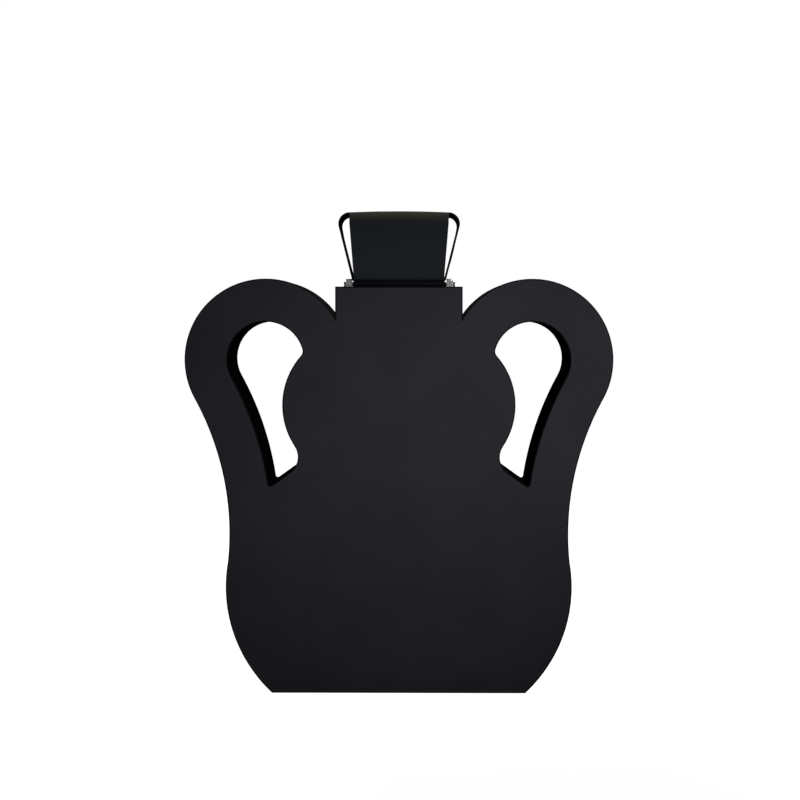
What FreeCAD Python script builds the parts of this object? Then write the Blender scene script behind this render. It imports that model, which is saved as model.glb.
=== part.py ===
import FreeCAD, Part
import Sketcher
import math
import os
import re

# A flat rigid case with the outline of a two-handled water jar. It stands on
# its base, faces -Y and holds a square mouth with a hinged lid. A folded
# leather hood on the lid is the grip that opens it. All sizes are millimetres.

Vector = FreeCAD.Vector

# Two places closer than this share of a piece's own size count as one
SAME_SHARE = 0.01

# The slot of a screw, as shares of its head: width over diameter and depth over height
SLOT_WIDTH_SHARE = 0.125
SLOT_DEPTH_SHARE = 0.5

SIZES = {
    # Outline of the case, seen from the front
    "handle_height": 235.5,
    "waist_height": 93.1,
    "waist_inset": 30.0,
    "base_inset": 31.0,
    "belly_radius": 102.5,
    "flank_radius": 198.2,
    "notch_rise": 29.5,
    "neck_rise": 22.0,
    # Room round the lid on the neck
    "neck_margin": 5.3,
    "depth_margin": 4.8,
    # Hand hole in each handle
    "grip_width": 30.2,
    "hole_radius": 26.8,
    "corner_rise": 6.2,
    "corner_round": 5.0,
    "shoulder_drop": 31.85,
    "shoulder_radius": 52.5,
    "pocket_drop": 36.4,
    "pocket_radius": 13.55,
    "tip_drop": 18.9,
    "tip_round": 1.5,
    # Layers of the shell
    "leather_thick": 1.0,
    "board_thick": 2.0,
    "floor_thick": 4.0,
    "lining_thick": 0.8,
    # Solid filling of each handle, down to below the hand hole
    "core_drop": 20.7,
    # Frame and plate round the mouth
    "frame_height": 12.0,
    "plate_thick": 1.5,
    "mouth_round": 3.0,
    # Screws that hold the plate on its frame
    "plate_screw_inset": 6.2,
    "plate_screw_end": 9.5,
    "plate_screw_radius": 1.2,
    "plate_screw_bite": 7.5,
    "plate_screw_head": 2.3,
    "plate_head_depth": 1.2,
    # Hinge lugs with their threaded stems and nuts
    "lug_width": 4.8,
    "lug_depth": 6.0,
    "lug_height": 7.0,
    "lug_round": 1.2,
    "stem_radius": 1.5,
    "stem_play": 0.1,
    "nut_radius": 3.2,
    "nut_height": 2.4,
    "stem_end": 1.0,
    # Lid and the clamp plate on it
    "lid_half": 32.7,
    "lid_thick": 3.4,
    "lid_flat": 0.15,
    "lid_gap": 0.4,
    "hinge_inset": 1.9,
    "hinge_rise": 2.2,
    "clamp_inset": 1.5,
    "clamp_thick": 1.5,
    "clamp_round": 2.2,
    "tab_lap": 7.2,
    "tab_gap": 0.6,
    "clamp_screw_inset": 4.8,
    "clamp_screw_radius": 1.0,
    "clamp_screw_bite": 2.3,
    "clamp_screw_head": 1.9,
    "clamp_head_depth": 0.9,
    # Pivots of the lid
    "pivot_radius": 1.1,
    "pivot_play": 0.05,
    "pivot_tip_radius": 0.9,
    "pivot_tip_depth": 6.0,
    "pivot_head_radius": 2.1,
    "pivot_head_thick": 1.25,
    "pivot_head_gap": 0.3,
    "spacer_radius": 2.0,
    "spacer_length": 1.7,
    "spacer_gap": 0.2,
    # Magnets that hold the lid shut
    "magnet_reach": 14.0,
    "magnet_rim": 0.4,
    "magnet_radius": 2.5,
    "magnet_thick": 1.5,
    # Leather hood
    "hood_height": 52.6,
    "hood_leather": 1.2,
    "hood_bend": 8.0,
    "hood_flare": 2.3,
    "arm_foot_inset": 1.45,
    "arm_foot_round": 2.2,
    "arm_gap": 3.8,
    "panel_proud": 0.3,
    "panel_foot_round": 3.5,
    "panel_inset": 1.4,
    "panel_flare": 3.6,
    # Overrun of tools past the faces that they cut
    "overrun": 5.0,
}

# What follows from the sizes: lines across, levels up and planes through the depth
FOLLOWING = {
    # Lid, hinge line and mouth
    "lid_round": "lid_thick / 2 - lid_flat",
    "hinge_line": "lid_half - hinge_inset",
    "lug_reach": "lid_half + spacer_length + spacer_gap + lug_width / 2",
    "pivot_head_face": "lug_reach + lug_width / 2 + pivot_head_gap",
    "mouth_half": "hinge_line - 2 * (magnet_radius + magnet_rim)",
    "magnet_line": "mouth_half + magnet_rim + magnet_radius",
    # Outline of the case
    "neck_half": "lug_reach + lug_width / 2 + neck_margin",
    "handle_radius": "hole_radius + grip_width",
    "handle_reach": "neck_half + sqrt(handle_radius ^ 2 - notch_rise ^ 2)",
    "plate_half": "neck_half - leather_thick",
    "frame_half": "plate_half - board_thick",
    "waist_half": "handle_reach + handle_radius - waist_inset",
    "base_half": "waist_half - base_inset",
    "notch_height": "handle_height + notch_rise",
    "neck_top": "notch_height + neck_rise",
    # Centres of the arcs of the hand hole
    "corner_reach": "handle_reach - sqrt((hole_radius - corner_round) ^ 2 - corner_rise ^ 2)",
    "corner_height": "handle_height + corner_rise",
    "shoulder_height": "handle_height - shoulder_drop",
    "shoulder_span": "shoulder_radius + corner_round",
    "shoulder_reach": "corner_reach - sqrt(shoulder_span ^ 2 - (shoulder_drop + corner_rise) ^ 2)",
    "pocket_height": "shoulder_height - pocket_drop",
    "pocket_span": "shoulder_radius + pocket_radius",
    "pocket_reach": "shoulder_reach + sqrt(pocket_span ^ 2 - pocket_drop ^ 2)",
    "tip_height": "pocket_height - tip_drop",
    "wall_radius": "flank_radius + grip_width",
    "core_foot": "tip_height - tip_round - core_drop",
    # Planes through the depth: the faces, the boards and the clear inside
    "wall_thick": "leather_thick + board_thick",
    "half_depth": "lid_half + depth_margin",
    "board_front": "leather_thick - half_depth",
    "board_back": "half_depth - leather_thick",
    "inside_front": "wall_thick - half_depth",
    "inside_back": "half_depth - wall_thick",
    "past_front": "-half_depth - overrun",
    "past_back": "half_depth + overrun",
    "far_half": "handle_reach + handle_radius + overrun",
    # Levels
    "far_top": "handle_height + handle_radius + overrun",
    "floor_top": "leather_thick + floor_thick",
    "plate_floor": "neck_top - plate_thick",
    "frame_floor": "plate_floor - frame_height",
    "lid_floor": "neck_top + lid_gap",
    "lid_top": "lid_floor + lid_thick",
    "hinge_level": "lid_floor + hinge_rise",
    "clamp_floor": "lid_top + hood_leather",
    "clamp_top": "clamp_floor + clamp_thick",
    "hood_top": "neck_top + hood_height",
    "hood_roof": "hood_top + overrun",
    # Hood
    "bend_height": "hood_top - hood_bend",
    "arm_bend_line": "lid_half + hood_flare",
    "arm_foot_line": "lid_half - arm_foot_inset",
    "arm_foot_height": "lid_top + arm_foot_round",
    "panel_bend_line": "lid_half + panel_proud - hood_bend",
    "panel_foot_line": "lid_half + panel_proud - panel_foot_round",
    "panel_foot_height": "lid_top + panel_foot_round",
    "arm_half": "hinge_line - lug_depth / 2 - arm_gap",
    "panel_foot_half": "lid_half - panel_inset",
    "panel_top_half": "panel_foot_half + panel_flare",
    # Fasteners of the mouth plate and the clamp plate
    "plate_screw_reach": "neck_half - plate_screw_inset",
    "plate_screw_front": "half_depth - plate_screw_end",
    "plate_screw_rear": "hinge_line / 2",
    "plate_screw_length": "plate_thick + plate_screw_bite",
    "clamp_half": "panel_foot_line - clamp_inset",
    "boss_half": "clamp_half - tab_lap",
    "tab_start": "boss_half + tab_gap",
    "clamp_screw_reach": "boss_half - clamp_screw_inset",
    "clamp_screw_length": "clamp_thick + hood_leather + clamp_screw_bite",
}

doc = FreeCAD.newDocument("jar_case")


def looked_up(formula, sheets):
    """Return the formula with each name that a sheet holds looked up in it."""
    def cell(word):
        homes = [sheet + "." for sheet, names in sheets.items() if word[0] in names]
        return "".join(homes) + word[0]

    return re.sub(r"[a-z_]+", cell, formula)


def sheet_of(name, cells):
    """Make a sheet that holds one value a row, each with its alias."""
    sheet = doc.addObject("Spreadsheet::Sheet", name)
    for row, (alias, content) in enumerate(cells.items(), start=1):
        sheet.set(f"A{row}", alias)
        sheet.set(f"B{row}", content)
        sheet.setAlias(f"B{row}", alias)
    doc.recompute()
    return sheet


sheet_of("Sizes", {alias: str(number) for alias, number in SIZES.items()})
follows = sheet_of("Follows", {
    alias: "=" + looked_up(formula, {"Sizes": SIZES}) for alias, formula in FOLLOWING.items()
})
BOTH_SHEETS = {"Sizes": SIZES, "Follows": FOLLOWING}
size = {**SIZES, **{alias: float(follows.get(alias)) for alias in FOLLOWING}}

pieces = []


def bind(thing, **formulas):
    """Bind properties of an object to formulas; a double underscore stands for a dot."""
    for name, formula in formulas.items():
        thing.setExpression(name.replace("__", "."), looked_up(formula, BOTH_SHEETS))
    return thing


def place(thing, x="0", y="0", z="0"):
    """Bind the position of an object."""
    return bind(thing, Placement__Base__x=x, Placement__Base__y=y, Placement__Base__z=z)


def keep(name, thing):
    """Name a finished piece and put it on the list of pieces."""
    thing.Label = name
    pieces.append(thing)
    return thing


# Sketch helpers

def arc_geometry(centre, start, end, turns_left):
    """Return an arc from start to end round a centre; it may turn left or right."""
    spoke = start - centre
    last = end - centre
    first_angle = math.atan2(spoke.y, spoke.x)
    last_angle = math.atan2(last.y, last.x)
    if not turns_left:
        first_angle, last_angle = last_angle, first_angle
    circle = Part.Circle(centre, Vector(0, 0, 1), (spoke.Length + last.Length) / 2)
    return Part.ArcOfCircle(circle, first_angle, last_angle)


class Outline:
    """A chain of lines and arcs in a sketch, drawn on one side of the middle plane."""

    def __init__(self, sketch, side=1):
        self.sketch = sketch
        self.side = side
        self.links = []

    def point(self, x, y):
        return Vector(self.side * x, y, 0)

    def line(self, start, end):
        index = self.sketch.addGeometry(Part.LineSegment(self.point(*start), self.point(*end)), False)
        self.links.append((index, 1, 2))
        return index

    def arc(self, centre, start, end, turns_left):
        turns_left = turns_left == (self.side > 0)
        shape = arc_geometry(self.point(*centre), self.point(*start), self.point(*end), turns_left)
        index = self.sketch.addGeometry(shape, False)
        self.links.append((index, 1, 2) if turns_left else (index, 2, 1))
        return index

    def first(self, index):
        return next(link[1] for link in self.links if link[0] == index)

    def last(self, index):
        return next(link[2] for link in self.links if link[0] == index)

    def join(self, one, other, smooth=False):
        """Join the end of one link to the start of the other."""
        kind = "Tangent" if smooth else "Coincident"
        ends = (one, self.last(one), other, self.first(other))
        self.sketch.addConstraint(Sketcher.Constraint(kind, *ends))

    def dimension(self, kind, references, formula, start):
        """Add one bound dimension, with its starting value."""
        index = self.sketch.addConstraint(Sketcher.Constraint(kind, *references, start))
        self.sketch.setExpression(f"Constraints[{index}]", looked_up(formula, BOTH_SHEETS))

    def radius(self, index, formula, start):
        self.dimension("Radius", (index,), formula, start)

    def across(self, index, end, formula, start):
        """Fix the distance of a point from the middle plane."""
        ends = (-1, 1, index, end) if self.side > 0 else (index, end, -1, 1)
        self.dimension("DistanceX", ends, formula, start)

    def height(self, index, end, formula, start):
        self.dimension("DistanceY", (-1, 1, index, end), formula, start)


def free_sketch(name, turned=True):
    """Return a sketch of its own, upright in the XZ plane when turned."""
    sketch = doc.addObject("Sketcher::SketchObject", name)
    if turned:
        sketch.Placement = FreeCAD.Placement(Vector(), FreeCAD.Rotation(Vector(1, 0, 0), 90))
    return sketch


def body_sketch(body, role, level=None):
    """Return a sketch on one origin plane of a body, at a level along its normal."""
    sketch = body.newObject("Sketcher::SketchObject", "sketch")
    plane = next(part for part in body.Origin.OriginFeatures if part.Role == role)
    sketch.AttachmentSupport = [(plane, "")]
    sketch.MapMode = "FlatFace"
    if level:
        bind(sketch, AttachmentOffset__Base__z=level)
    return sketch


def rectangle(sketch, left, right, low, high):
    """Draw a rectangle between four bound lines."""
    corners = [Vector(-1, -1, 0), Vector(1, -1, 0), Vector(1, 1, 0), Vector(-1, 1, 0)]
    first = sketch.GeometryCount
    for start, end in zip(corners, corners[1:] + corners[:1]):
        sketch.addGeometry(Part.LineSegment(start, end), False)
    bottom, side, top, other_side = range(first, first + 4)
    for one, other in ((bottom, side), (side, top), (top, other_side), (other_side, bottom)):
        sketch.addConstraint(Sketcher.Constraint("Coincident", one, 2, other, 1))
    for line in (bottom, top):
        sketch.addConstraint(Sketcher.Constraint("Horizontal", line))
    for line in (side, other_side):
        sketch.addConstraint(Sketcher.Constraint("Vertical", line))
    pen = Outline(sketch)
    pen.dimension("DistanceX", (-1, 1, bottom, 1), left, -1)
    pen.dimension("DistanceX", (-1, 1, bottom, 2), right, 1)
    pen.dimension("DistanceY", (-1, 1, bottom, 1), low, -1)
    pen.dimension("DistanceY", (-1, 1, top, 1), high, 1)


def circle(sketch, across, along, radius):
    """Draw a circle at a bound place."""
    index = sketch.addGeometry(Part.Circle(Vector(1, 1, 0), Vector(0, 0, 1), 1), False)
    pen = Outline(sketch)
    pen.dimension("DistanceX", (-1, 1, index, 3), across, 1)
    pen.dimension("DistanceY", (-1, 1, index, 3), along, 1)
    pen.dimension("Radius", (index,), radius, 1)


def pad(body, sketch, length):
    feature = body.newObject("PartDesign::Pad", "pad")
    feature.Profile = sketch
    return bind(feature, Length=length)


def pocket(body, sketch, length, reverse=False):
    feature = body.newObject("PartDesign::Pocket", "pocket")
    feature.Profile = sketch
    feature.Reversed = reverse
    return bind(feature, Length=length)


def new_body(name):
    return keep(name, doc.addObject("PartDesign::Body", name + "_body"))


# Solid helpers

def box(name, x, y, z):
    """Return a box between three pairs of bound faces."""
    block = doc.addObject("Part::Box", name)
    spans = {axis: f"({high}) - ({low})" for axis, (low, high) in zip("xyz", (x, y, z))}
    bind(block, Length=spans["x"], Width=spans["y"], Height=spans["z"])
    return place(block, x[0], y[0], z[0])


def rod(name, radius, length, x="0", y="0", z="0", along="z"):
    """Return a cylinder that starts at a place and runs along an axis."""
    cylinder = doc.addObject("Part::Cylinder", name)
    turns = {"z": (Vector(0, 0, 1), 0), "x": (Vector(0, 1, 0), 90), "y": (Vector(1, 0, 0), -90)}
    cylinder.Placement = FreeCAD.Placement(Vector(), FreeCAD.Rotation(*turns[along]))
    bind(cylinder, Radius=radius, Height=length)
    return place(cylinder, x, y, z)


def cut(name, base, *tools):
    """Return the base without its tools, cut away one by one."""
    for number, tool in enumerate(tools, start=1):
        result = doc.addObject("Part::Cut", f"{name}_step_{number}")
        result.Base = base
        result.Tool = tool
        base = result
    return base


def common(name, base, tool):
    result = doc.addObject("Part::Common", name)
    result.Base = base
    result.Tool = tool
    return result


def fuse(name, base, tool):
    result = doc.addObject("Part::Fuse", name)
    result.Base = base
    result.Tool = tool
    result.Refine = True
    return result


def group(name, solids):
    """Return equal fasteners as one group of separate solids."""
    result = doc.addObject("Part::Compound", name)
    result.Links = solids
    return keep(name, result)


def mirrored(name, source):
    """Return the left piece that matches a right one."""
    result = doc.addObject("Part::Mirroring", name)
    result.Source = source
    result.Base = Vector(0, 0, 0)
    result.Normal = Vector(1, 0, 0)
    return result


def both_sides(name, right):
    """Keep a right piece and its mirror image on the left."""
    keep(name + "_right", right)
    keep(name + "_left", mirrored(name + "_left", right))


def offset(name, source, distance):
    """Return a sketch's outline moved outwards by a bound distance."""
    result = doc.addObject("Part::Offset2D", name)
    result.Source = source
    result.Join = "Arc"
    return bind(result, Value=distance)


def slab(name, source, front, back):
    """Return an upright outline as a solid between two planes along Y."""
    result = doc.addObject("Part::Extrusion", name)
    result.Base = source
    result.DirMode = "Custom"
    result.Dir = Vector(0, 1, 0)
    result.Solid = True
    bind(result, LengthFwd=f"({back}) - ({front})")
    return place(result, y=front)


# Outline of the case and of its hand holes

def on_circle(centre, towards, radius):
    """Return the point of a circle that lies towards another point."""
    gap = math.dist(centre, towards)
    return tuple(here + (there - here) * radius / gap for here, there in zip(centre, towards))


def crossing(first, first_radius, second, second_radius, turns_left):
    """Return where two circles cross, left or right of the line of centres."""
    gap = math.dist(first, second)
    along = (gap ** 2 + first_radius ** 2 - second_radius ** 2) / (2 * gap)
    rise = math.sqrt(first_radius ** 2 - along ** 2) * (1 if turns_left else -1)
    step = ((second[0] - first[0]) / gap, (second[1] - first[1]) / gap)
    return (first[0] + along * step[0] - rise * step[1], first[1] + along * step[1] + rise * step[0])


base_corner = (size["base_half"], 0)
waist = (size["waist_half"], size["waist_height"])
handle_centre = (size["handle_reach"], size["handle_height"])
flank_centre = crossing(
    handle_centre, size["handle_radius"] + size["flank_radius"], waist, size["flank_radius"], True
)
belly_centre = crossing(base_corner, size["belly_radius"], waist, size["belly_radius"], True)
notch = (size["neck_half"], size["notch_height"])


def draw_case(sketch):
    """Draw the closed outline of the case on both sides of its middle."""
    neck_corner = (size["neck_half"], size["neck_top"])
    sides = []
    for side in (1, -1):
        pen = Outline(sketch, side)
        turn = on_circle(handle_centre, flank_centre, size["handle_radius"])
        belly = pen.arc(belly_centre, base_corner, waist, True)
        flank = pen.arc(flank_centre, waist, turn, False)
        handle = pen.arc(handle_centre, turn, notch, True)
        neck = pen.line(notch, neck_corner)
        pen.join(belly, flank)
        pen.join(flank, handle, smooth=True)
        pen.join(handle, neck)
        pen.across(belly, pen.first(belly), "base_half", size["base_half"])
        sketch.addConstraint(Sketcher.Constraint("PointOnObject", belly, pen.first(belly), -1))
        pen.radius(belly, "belly_radius", size["belly_radius"])
        pen.across(flank, pen.first(flank), "waist_half", size["waist_half"])
        pen.height(flank, pen.first(flank), "waist_height", size["waist_height"])
        pen.radius(flank, "flank_radius", size["flank_radius"])
        pen.across(handle, 3, "handle_reach", size["handle_reach"])
        pen.height(handle, 3, "handle_height", size["handle_height"])
        pen.radius(handle, "handle_radius", size["handle_radius"])
        sketch.addConstraint(Sketcher.Constraint("Vertical", neck))
        pen.across(neck, pen.last(neck), "neck_half", size["neck_half"])
        pen.height(neck, pen.last(neck), "neck_top", size["neck_top"])
        sides.append((pen, belly, neck))
    right, left = sides
    for link, end in ((1, "first"), (2, "last")):
        spots = [(item[link], getattr(item[0], end)(item[link])) for item in (right, left)]
        places = [sketch.getPoint(*spot) for spot in spots]
        line = sketch.addGeometry(Part.LineSegment(*places), False)
        for number, spot in enumerate(spots, start=1):
            sketch.addConstraint(Sketcher.Constraint("Coincident", line, number, *spot))


def draw_hole(sketch, side):
    """Draw the hand hole of one handle, its outer wall parallel to the outline."""
    pen = Outline(sketch, side)
    corner_centre = (size["corner_reach"], size["corner_height"])
    shoulder_centre = (size["shoulder_reach"], size["shoulder_height"])
    pocket_centre = (size["pocket_reach"], size["pocket_height"])
    tip_fall = flank_centre[1] - size["tip_height"]
    tip_gap = math.sqrt((size["wall_radius"] + size["tip_round"]) ** 2 - tip_fall ** 2)
    tip_centre = (flank_centre[0] - tip_gap, size["tip_height"])
    # The floor touches the pocket and the rounded tip on the side below both
    reach = math.dist(pocket_centre, tip_centre)
    slope = math.atan2(tip_centre[1] - pocket_centre[1], tip_centre[0] - pocket_centre[0])
    slope -= math.asin((size["tip_round"] - size["pocket_radius"]) / reach)
    below = (math.sin(slope), -math.cos(slope))
    floor_start = tuple(c + size["pocket_radius"] * d for c, d in zip(pocket_centre, below))
    floor_end = tuple(c + size["tip_round"] * d for c, d in zip(tip_centre, below))

    wall_top = on_circle(handle_centre, flank_centre, size["hole_radius"])
    wall_foot = on_circle(flank_centre, tip_centre, size["wall_radius"])
    pocket_top = on_circle(shoulder_centre, pocket_centre, size["shoulder_radius"])
    corner_foot = on_circle(shoulder_centre, corner_centre, size["shoulder_radius"])
    corner_top = on_circle(handle_centre, corner_centre, size["hole_radius"])

    wall = pen.arc(flank_centre, wall_foot, wall_top, False)
    top = pen.arc(handle_centre, wall_top, corner_top, True)
    corner = pen.arc(corner_centre, corner_top, corner_foot, True)
    shoulder = pen.arc(shoulder_centre, corner_foot, pocket_top, False)
    pocket_arc = pen.arc(pocket_centre, pocket_top, floor_start, True)
    floor = pen.line(floor_start, floor_end)
    tip = pen.arc(tip_centre, floor_end, wall_foot, True)
    chain = [wall, top, corner, shoulder, pocket_arc, floor, tip]
    for one, other in zip(chain, chain[1:] + chain[:1]):
        pen.join(one, other, smooth=True)
    pen.across(top, 3, "handle_reach", size["handle_reach"])
    rounds = {
        top: ("hole_radius", "handle_height"),
        corner: ("corner_round", "corner_height"),
        shoulder: ("shoulder_radius", "shoulder_height"),
        pocket_arc: ("pocket_radius", "pocket_height"),
        tip: ("tip_round", "tip_height"),
    }
    for link, (radius, height) in rounds.items():
        pen.radius(link, radius, size[radius])
        pen.height(link, 3, height, size[height])
    pen.radius(wall, "wall_radius", size["wall_radius"])
    # A spoke from the waist holds the wall's centre on that of the outline
    spoke_ends = (pen.point(*waist), pen.point(*flank_centre))
    spoke = sketch.addGeometry(Part.LineSegment(*spoke_ends), True)
    sketch.addConstraint(Sketcher.Constraint("Coincident", spoke, 2, wall, 3))
    pen.across(spoke, 1, "waist_half", size["waist_half"])
    pen.height(spoke, 1, "waist_height", size["waist_height"])
    pen.dimension("Distance", (spoke,), "flank_radius", size["flank_radius"])


case_outline = free_sketch("case_outline")
draw_case(case_outline)
hole_outline = free_sketch("hole_outline")
draw_hole(hole_outline, 1)
skin_line = offset("skin_line", case_outline, "-leather_thick")
wall_line = offset("wall_line", case_outline, "-wall_thick")
hole_skin_line = offset("hole_skin_line", hole_outline, "leather_thick")
hole_wall_line = offset("hole_wall_line", hole_outline, "wall_thick")


# Front and back leather

def leather_face(name, level, turned_out):
    """Return one leather face of the case, as wide as the whole outline."""
    body = new_body(name)
    sketch = body_sketch(body, "XZ_Plane", level)
    draw_case(sketch)
    for side in (1, -1):
        draw_hole(sketch, side)
    face = pad(body, sketch, "leather_thick")
    face.Reversed = turned_out
    return body


leather_face("front_leather", "half_depth - leather_thick", False)
leather_face("back_leather", "leather_thick - half_depth", True)


# Boards behind the leather faces

hole_cutter = slab("hole_cutter", hole_skin_line, "past_front", "past_back")
hole_cutter_left = mirrored("hole_cutter_left", hole_cutter)
THROUGH = ("past_front", "past_back")
plate_zone = box("plate_zone", ("-plate_half", "plate_half"), THROUGH, ("plate_floor", "neck_top + overrun"))


def face_board(name, front, back):
    """Return one flat board, set in from the outline by the side leather."""
    panel = slab(name + "_panel", skin_line, front, back)
    return keep(name, cut(name, panel, plate_zone, hole_cutter, hole_cutter_left))


face_board("front_board", "board_front", "inside_front")
face_board("back_board", "inside_back", "board_back")


# Leather and boards round the sides and the base

ring_outer = slab("ring_outer", case_outline, "board_front", "board_back")
ring_inner = slab("ring_inner", skin_line, "past_front", "past_back")
leather_ring = cut("leather_ring", ring_outer, ring_inner)
ACROSS = ("-far_half", "far_half")
base_zone = box("base_zone", ACROSS, THROUGH, ("-overrun", "leather_thick"))
keep("base_leather", common("base_leather", leather_ring, base_zone))
side_zone = box("side_zone", ("plate_half", "far_half"), THROUGH, ("leather_thick", "far_top"))
both_sides("side_leather", common("side_leather_right", leather_ring, side_zone))

board_outer = slab("board_outer", skin_line, "inside_front", "inside_back")
board_inner = slab("board_inner", wall_line, "past_front", "past_back")
board_ring = cut("board_ring", board_outer, board_inner)
board_zone = box("board_zone", ("frame_half", "far_half"), THROUGH, ("floor_top", "far_top"))
board_strip = common("board_strip", board_ring, board_zone)
both_sides("side_board", cut("side_board_right", board_strip, plate_zone))
floor_zone = box("floor_zone", ACROSS, ("inside_front", "inside_back"), ("leather_thick", "floor_top"))
floor_fill = slab("floor_fill", skin_line, "inside_front", "inside_back")
keep("floor_board", common("floor_board", floor_fill, floor_zone))


# Walls of the hand holes

hole_leather_body = slab("hole_leather_body", hole_skin_line, "board_front", "board_back")
hole_void = slab("hole_void", hole_outline, "past_front", "past_back")
both_sides("handle_leather", cut("handle_leather_right", hole_leather_body, hole_void))
hole_wall_body = slab("hole_wall_body", hole_wall_line, "inside_front", "inside_back")
both_sides("handle_wall", cut("handle_wall_right", hole_wall_body, hole_cutter))


# Solid filling of the handles, between the side boards and the hole walls

inside_fill = slab("inside_fill", wall_line, "inside_front", "inside_back")
core_zone = box("core_zone", ("neck_half", "far_half"), THROUGH, ("core_foot", "far_top"))
core_block = common("core_block", inside_fill, core_zone)
hole_wall_tool = slab("hole_wall_tool", hole_wall_line, "past_front", "past_back")
heel_tool = box("heel_tool", ("-overrun", "pocket_reach"), THROUGH,
                ("core_foot - overrun", "shoulder_height"))
shoulder_tool = rod("shoulder_tool", "shoulder_radius", "2 * (half_depth + overrun)",
                    "shoulder_reach", "past_front", "shoulder_height", "y")
core_right = cut("handle_core_right", core_block, hole_wall_tool, heel_tool, shoulder_tool)
both_sides("handle_core", core_right)


# Lining of the clear inside

hole_wall_tool_left = mirrored("hole_wall_tool_left", hole_wall_tool)
core_left = mirrored("core_tool_left", core_right)


def lining(name, front, back, low, high):
    """Return one flat lining panel that fits the clear inside."""
    sheet_fill = slab(name + "_fill", wall_line, front, back)
    zone = box(name + "_zone", ACROSS, THROUGH, (low, high))
    panel = common(name + "_panel", sheet_fill, zone)
    return keep(name, cut(name, panel, hole_wall_tool, hole_wall_tool_left, core_right, core_left))


lining("lining_front", "inside_front", "inside_front + lining_thick", "floor_top", "frame_floor")
lining("lining_back", "inside_back - lining_thick", "inside_back", "floor_top", "frame_floor")
lining("lining_floor", "inside_front + lining_thick", "inside_back - lining_thick",
       "floor_top", "floor_top + lining_thick")


# Frame in the neck and the plate on it

MOUTH = ("-mouth_half", "mouth_half")
plate_screw_spots = [
    (f"{side} * plate_screw_reach", line)
    for side in (1, -1)
    for line in ("-plate_screw_front", "plate_screw_rear")
]
stem_spots = [(f"{side} * lug_reach", "hinge_line") for side in (1, -1)]


def upright_edges(shape, reach):
    """Name the upright edges of a shape that stand at the corners of a square."""
    near = reach * SAME_SHARE
    names = []
    for number, edge in enumerate(shape.Edges, start=1):
        low, high = (vertex.Point for vertex in edge.Vertexes)
        upright = math.dist(low[:2], high[:2]) < near
        at_corner = all(abs(abs(spot) - reach) < near for spot in low[:2])
        if upright and at_corner:
            names.append(f"Edge{number}")
    return names


def ringed_body(name, half_width, half_depth, level, height):
    """Return a body with a rectangular ring round the mouth, its inner corners rounded."""
    body = new_body(name)
    outer = body_sketch(body, "XY_Plane", level)
    rectangle(outer, f"-({half_width})", half_width, f"-({half_depth})", half_depth)
    rectangle(outer, *MOUTH, *MOUTH)
    ring = pad(body, outer, height)
    doc.recompute()
    rounding = body.newObject("PartDesign::Fillet", "rounding")
    rounding.Base = (ring, upright_edges(ring.Shape, size["mouth_half"]))
    bind(rounding, Radius="mouth_round")
    return body


def holes(body, level, depth, spots, radius):
    """Cut round holes down from a level."""
    sketch = body_sketch(body, "XY_Plane", level)
    for across, along in spots:
        circle(sketch, across, along, radius)
    return pocket(body, sketch, depth)


def sink_heads(body, level, spots, head, radius, depth):
    """Sink a cone for each flat screw head, down from a level."""
    for across, along in spots:
        sketch = body_sketch(body, "XY_Plane", level)
        circle(sketch, across, along, head)
        bind(pocket(body, sketch, depth), TaperAngle=f"-atan(({head} - {radius}) / {depth})")


neck_frame = ringed_body("neck_frame", "frame_half", "inside_back", "frame_floor", "frame_height")
magnet_spots = [("magnet_reach", "-magnet_line"), ("-magnet_reach", "-magnet_line")]
holes(neck_frame, "plate_floor", "plate_screw_bite", plate_screw_spots, "plate_screw_radius")
holes(neck_frame, "plate_floor", "magnet_thick", magnet_spots, "magnet_radius")
holes(neck_frame, "plate_floor", "frame_height", stem_spots, "stem_radius + stem_play")

mouth_plate = ringed_body("mouth_plate", "plate_half", "board_back", "plate_floor", "plate_thick")
holes(mouth_plate, "neck_top", "plate_thick", stem_spots, "stem_radius + stem_play")
holes(mouth_plate, "neck_top", "plate_thick", plate_screw_spots, "plate_screw_radius")
sink_heads(mouth_plate, "neck_top", plate_screw_spots, "plate_screw_head", "plate_screw_radius",
           "plate_head_depth")


# Fasteners

def sunk_screw(name, x, y, top, head, head_depth, radius, length):
    """Return a flat-headed screw with its slot; its head lies at the top level."""
    head_cone = doc.addObject("Part::Cone", name + "_head")
    shank = doc.addObject("Part::Cylinder", name + "_shank")
    bind(head_cone, Radius1=radius, Radius2=head, Height=head_depth)
    bind(shank, Radius=radius, Height=f"{length} - {head_depth}")
    half_slot = f"{head} * {SLOT_WIDTH_SHARE}"
    slot = box(name + "_slot", (f"-{head}", head), (f"-{half_slot}", half_slot),
               (f"-{head_depth} * {SLOT_DEPTH_SHARE}", "0"))
    place(head_cone, z=f"-({head_depth})")
    place(shank, z=f"-({length})")
    return place(cut(name, fuse(name + "_blank", head_cone, shank), slot), x, y, top)


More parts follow.
